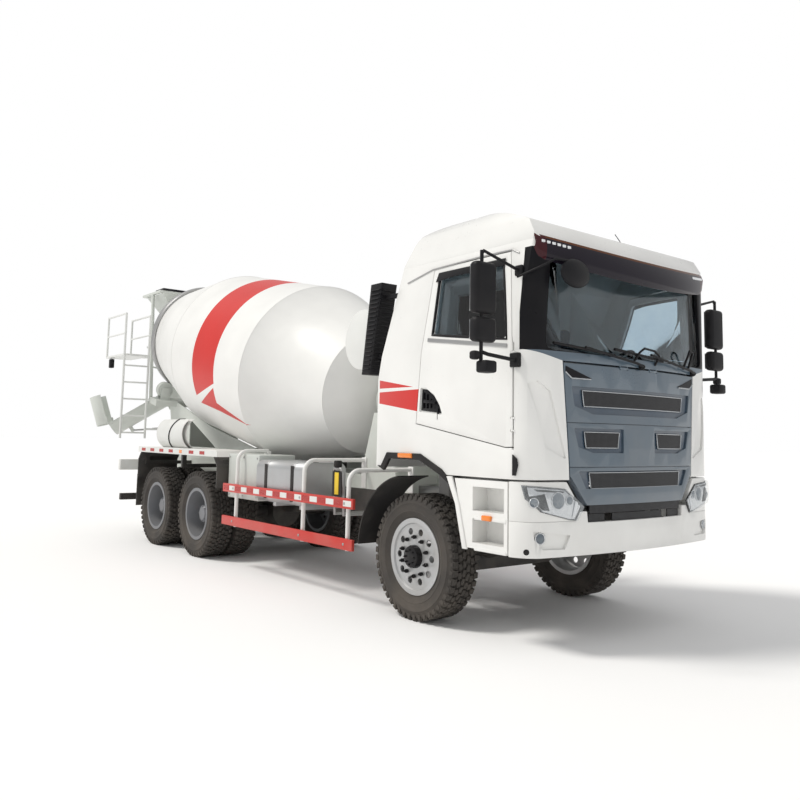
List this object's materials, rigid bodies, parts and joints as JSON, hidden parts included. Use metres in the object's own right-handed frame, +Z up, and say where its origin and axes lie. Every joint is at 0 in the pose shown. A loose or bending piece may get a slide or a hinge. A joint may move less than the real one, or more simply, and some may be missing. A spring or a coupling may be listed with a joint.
{
  "type": "concrete mixer truck",
  "caption": "Three-axle truck with a tilting cab and a turning inclined mixer drum, charging hopper, discharge funnel and folding swing chute.",
  "frame": {"origin": "on the ground below the middle of the overall length and width", "axes": "+X forward, +Y to the vehicle's left, +Z up"},
  "size_m": [10.3249, 3.35, 3.9871],
  "materials": {
    "chassis_grey": "satin",
    "pedestal_grey": "semi-gloss",
    "engine_grey": "rough",
    "tank_aluminium": "brushed",
    "chute_white": "semi-gloss",
    "cab_white": "gloss",
    "flap_slate": "gloss",
    "visor_black": "gloss",
    "black_plastic": "matt",
    "guard_red": "semi-gloss",
    "fender_white": "semi-gloss",
    "drum_white": "gloss",
    "ring_steel": "worn",
    "glass": "clear",
    "lamp_clear": "clear",
    "tyre": "matt",
    "rim_silver": "satin"
  },
  "bodies": {
    "chassis": {"frame": "chassis_grey", "subframe": "chassis_grey", "rear_pedestal": "pedestal_grey", "engine": "engine_grey", "front_axle": "chassis_grey", "rear_axles": "chassis_grey", "leaf_springs": "chassis_grey", "prop_shafts": "chassis_grey", "fuel_tank": "tank_aluminium", "battery_box": "chassis_grey", "side_cabinets": "cab_white", "side_guards": "guard_red", "front_mudguards": "black_plastic", "rear_fenders": "fender_white", "stored_chutes": "chute_white", "bumper": "cab_white", "headlamps": "lamp_clear", "step_panels": "black_plastic", "water_tank": "cab_white", "drum_gearbox": "pedestal_grey", "hopper": "pedestal_grey", "discharge_funnel": "pedestal_grey", "ladder": "chute_white", "rear_bar": "black_plastic"},
    "knuckle_left": {"knuckle_left": "chassis_grey"},
    "knuckle_right": {"knuckle_right": "chassis_grey"},
    "tie_rod": {"tie_rod": "chassis_grey"},
    "wheel_front_left": {"tyre_front_left": "tyre", "rim_front_left": "rim_silver"},
    "wheel_front_right": {"tyre_front_right": "tyre", "rim_front_right": "rim_silver"},
    "wheels_mid_left": {"tyres_mid_left": "tyre", "rims_mid_left": "rim_silver"},
    "wheels_mid_right": {"tyres_mid_right": "tyre", "rims_mid_right": "rim_silver"},
    "wheels_rear_left": {"tyres_rear_left": "tyre", "rims_rear_left": "rim_silver"},
    "wheels_rear_right": {"tyres_rear_right": "tyre", "rims_rear_right": "rim_silver"},
    "drum": {"drum_shell": "drum_white", "drum_ring": "ring_steel"},
    "roller_left": {"roller_left": "pedestal_grey"},
    "roller_right": {"roller_right": "pedestal_grey"},
    "chute_arm": {"chute_arm": "pedestal_grey"},
    "chute_jack": {"chute_jack": "ring_steel"},
    "chute_main": {"chute_main": "pedestal_grey"},
    "chute_extension": {"chute_extension": "pedestal_grey"},
    "cab": {"cab_shell": "cab_white", "cab_roof": "cab_white", "corner_panels": "cab_white", "windscreen": "glass", "sun_visor": "visor_black", "mirrors": "visor_black", "air_intake": "cab_white", "cab_interior": "black_plastic"},
    "front_flap": {"front_flap": "flap_slate"},
    "door_left": {"door_left": "cab_white", "door_glass_left": "glass"},
    "door_right": {"door_right": "cab_white", "door_glass_right": "glass"}
  },
  "joints": [
    {"name": "steer_left", "type": "hinge", "parent": "chassis", "child": "knuckle_left", "pos_m": [3.5575, 0.9, 0.54], "axis": [0, 0, 1], "range_deg": [-35, 35]},
    {"name": "steer_right", "type": "hinge", "parent": "chassis", "child": "knuckle_right", "pos_m": [3.5575, -0.9, 0.54], "axis": [0, 0, 1], "range_deg": [-35, 35]},
    {"name": "tie_rod_pivot", "type": "hinge", "parent": "knuckle_left", "child": "tie_rod", "pos_m": [3.3875, 0.9, 0.414], "axis": [0, 0, 1], "range_deg": [-35, 35]},
    {"name": "spin_front_left", "type": "hinge", "parent": "knuckle_left", "child": "wheel_front_left", "pos_m": [3.5575, 1.01, 0.54], "axis": [0, 1, 0], "continuous": true},
    {"name": "spin_front_right", "type": "hinge", "parent": "knuckle_right", "child": "wheel_front_right", "pos_m": [3.5575, -1.01, 0.54], "axis": [0, 1, 0], "continuous": true},
    {"name": "spin_mid_left", "type": "hinge", "parent": "chassis", "child": "wheels_mid_left", "pos_m": [-0.7675, 0.915, 0.54], "axis": [0, 1, 0], "continuous": true},
    {"name": "spin_mid_right", "type": "hinge", "parent": "chassis", "child": "wheels_mid_right", "pos_m": [-0.7675, -0.915, 0.54], "axis": [0, 1, 0], "continuous": true},
    {"name": "spin_rear_left", "type": "hinge", "parent": "chassis", "child": "wheels_rear_left", "pos_m": [-2.1175, 0.915, 0.54], "axis": [0, 1, 0], "continuous": true},
    {"name": "spin_rear_right", "type": "hinge", "parent": "chassis", "child": "wheels_rear_right", "pos_m": [-2.1175, -0.915, 0.54], "axis": [0, 1, 0], "continuous": true},
    {"name": "drum_spin", "type": "hinge", "parent": "chassis", "child": "drum", "pos_m": [1.8775, 0, 1.98], "axis": [-0.9785, 0, 0.2062], "continuous": true},
    {"name": "roller_spin_left", "type": "hinge", "parent": "chassis", "child": "roller_left", "pos_m": [-3.5658, 0.59096, 2.26458], "axis": [-0.9785, 0, 0.2062], "continuous": true},
    {"name": "roller_spin_right", "type": "hinge", "parent": "chassis", "child": "roller_right", "pos_m": [-3.5658, -0.59096, 2.26458], "axis": [-0.9785, 0, 0.2062], "continuous": true},
    {"name": "cab_tilt", "type": "hinge", "parent": "chassis", "child": "cab", "pos_m": [4.9575, 0, 0.93], "axis": [0, 1, 0], "range_deg": [0, 50]},
    {"name": "door_left_swing", "type": "hinge", "parent": "cab", "child": "door_left", "pos_m": [4.8195, 1.242, 1.93], "axis": [0, 0, -1], "range_deg": [0, 70]},
    {"name": "door_right_swing", "type": "hinge", "parent": "cab", "child": "door_right", "pos_m": [4.8195, -1.242, 1.93], "axis": [0, 0, 1], "range_deg": [0, 70]},
    {"name": "flap_lift", "type": "hinge", "parent": "cab", "child": "front_flap", "pos_m": [5.0615, 0, 2.16], "axis": [0, -1, 0], "range_deg": [0, 70]},
    {"name": "chute_swing", "type": "hinge", "parent": "chassis", "child": "chute_arm", "pos_m": [-4.2925, 0, 1.5], "axis": [0, 0, 1], "range_deg": [-150, 35]},
    {"name": "chute_tilt", "type": "hinge", "parent": "chute_arm", "child": "chute_main", "pos_m": [-4.3675, -0.1299, 2], "axis": [-0.866, 0.5, 0], "range_deg": [-10, 25]},
    {"name": "chute_jack_swing", "type": "hinge", "parent": "chute_arm", "child": "chute_jack", "pos_m": [-4.3275, -0.06062, 1.66], "axis": [-0.866, 0.5, 0], "range_deg": [-10, 25]},
    {"name": "chute_fold", "type": "hinge", "parent": "chute_main", "child": "chute_extension", "pos_m": [-4.86857, -0.99779, 1.71103], "axis": [-0.866, 0.5, 0], "range_deg": [-105, 70]}
  ],
  "couplings": [
    {"joint": "steer_right", "follows": "steer_left", "ratio": 1},
    {"joint": "tie_rod_pivot", "follows": "steer_left", "ratio": -1},
    {"joint": "roller_spin_left", "follows": "drum_spin", "ratio": -7.24},
    {"joint": "roller_spin_right", "follows": "drum_spin", "ratio": -7.24},
    {"joint": "chute_jack_swing", "follows": "chute_tilt", "ratio": 0.886}
  ]
}
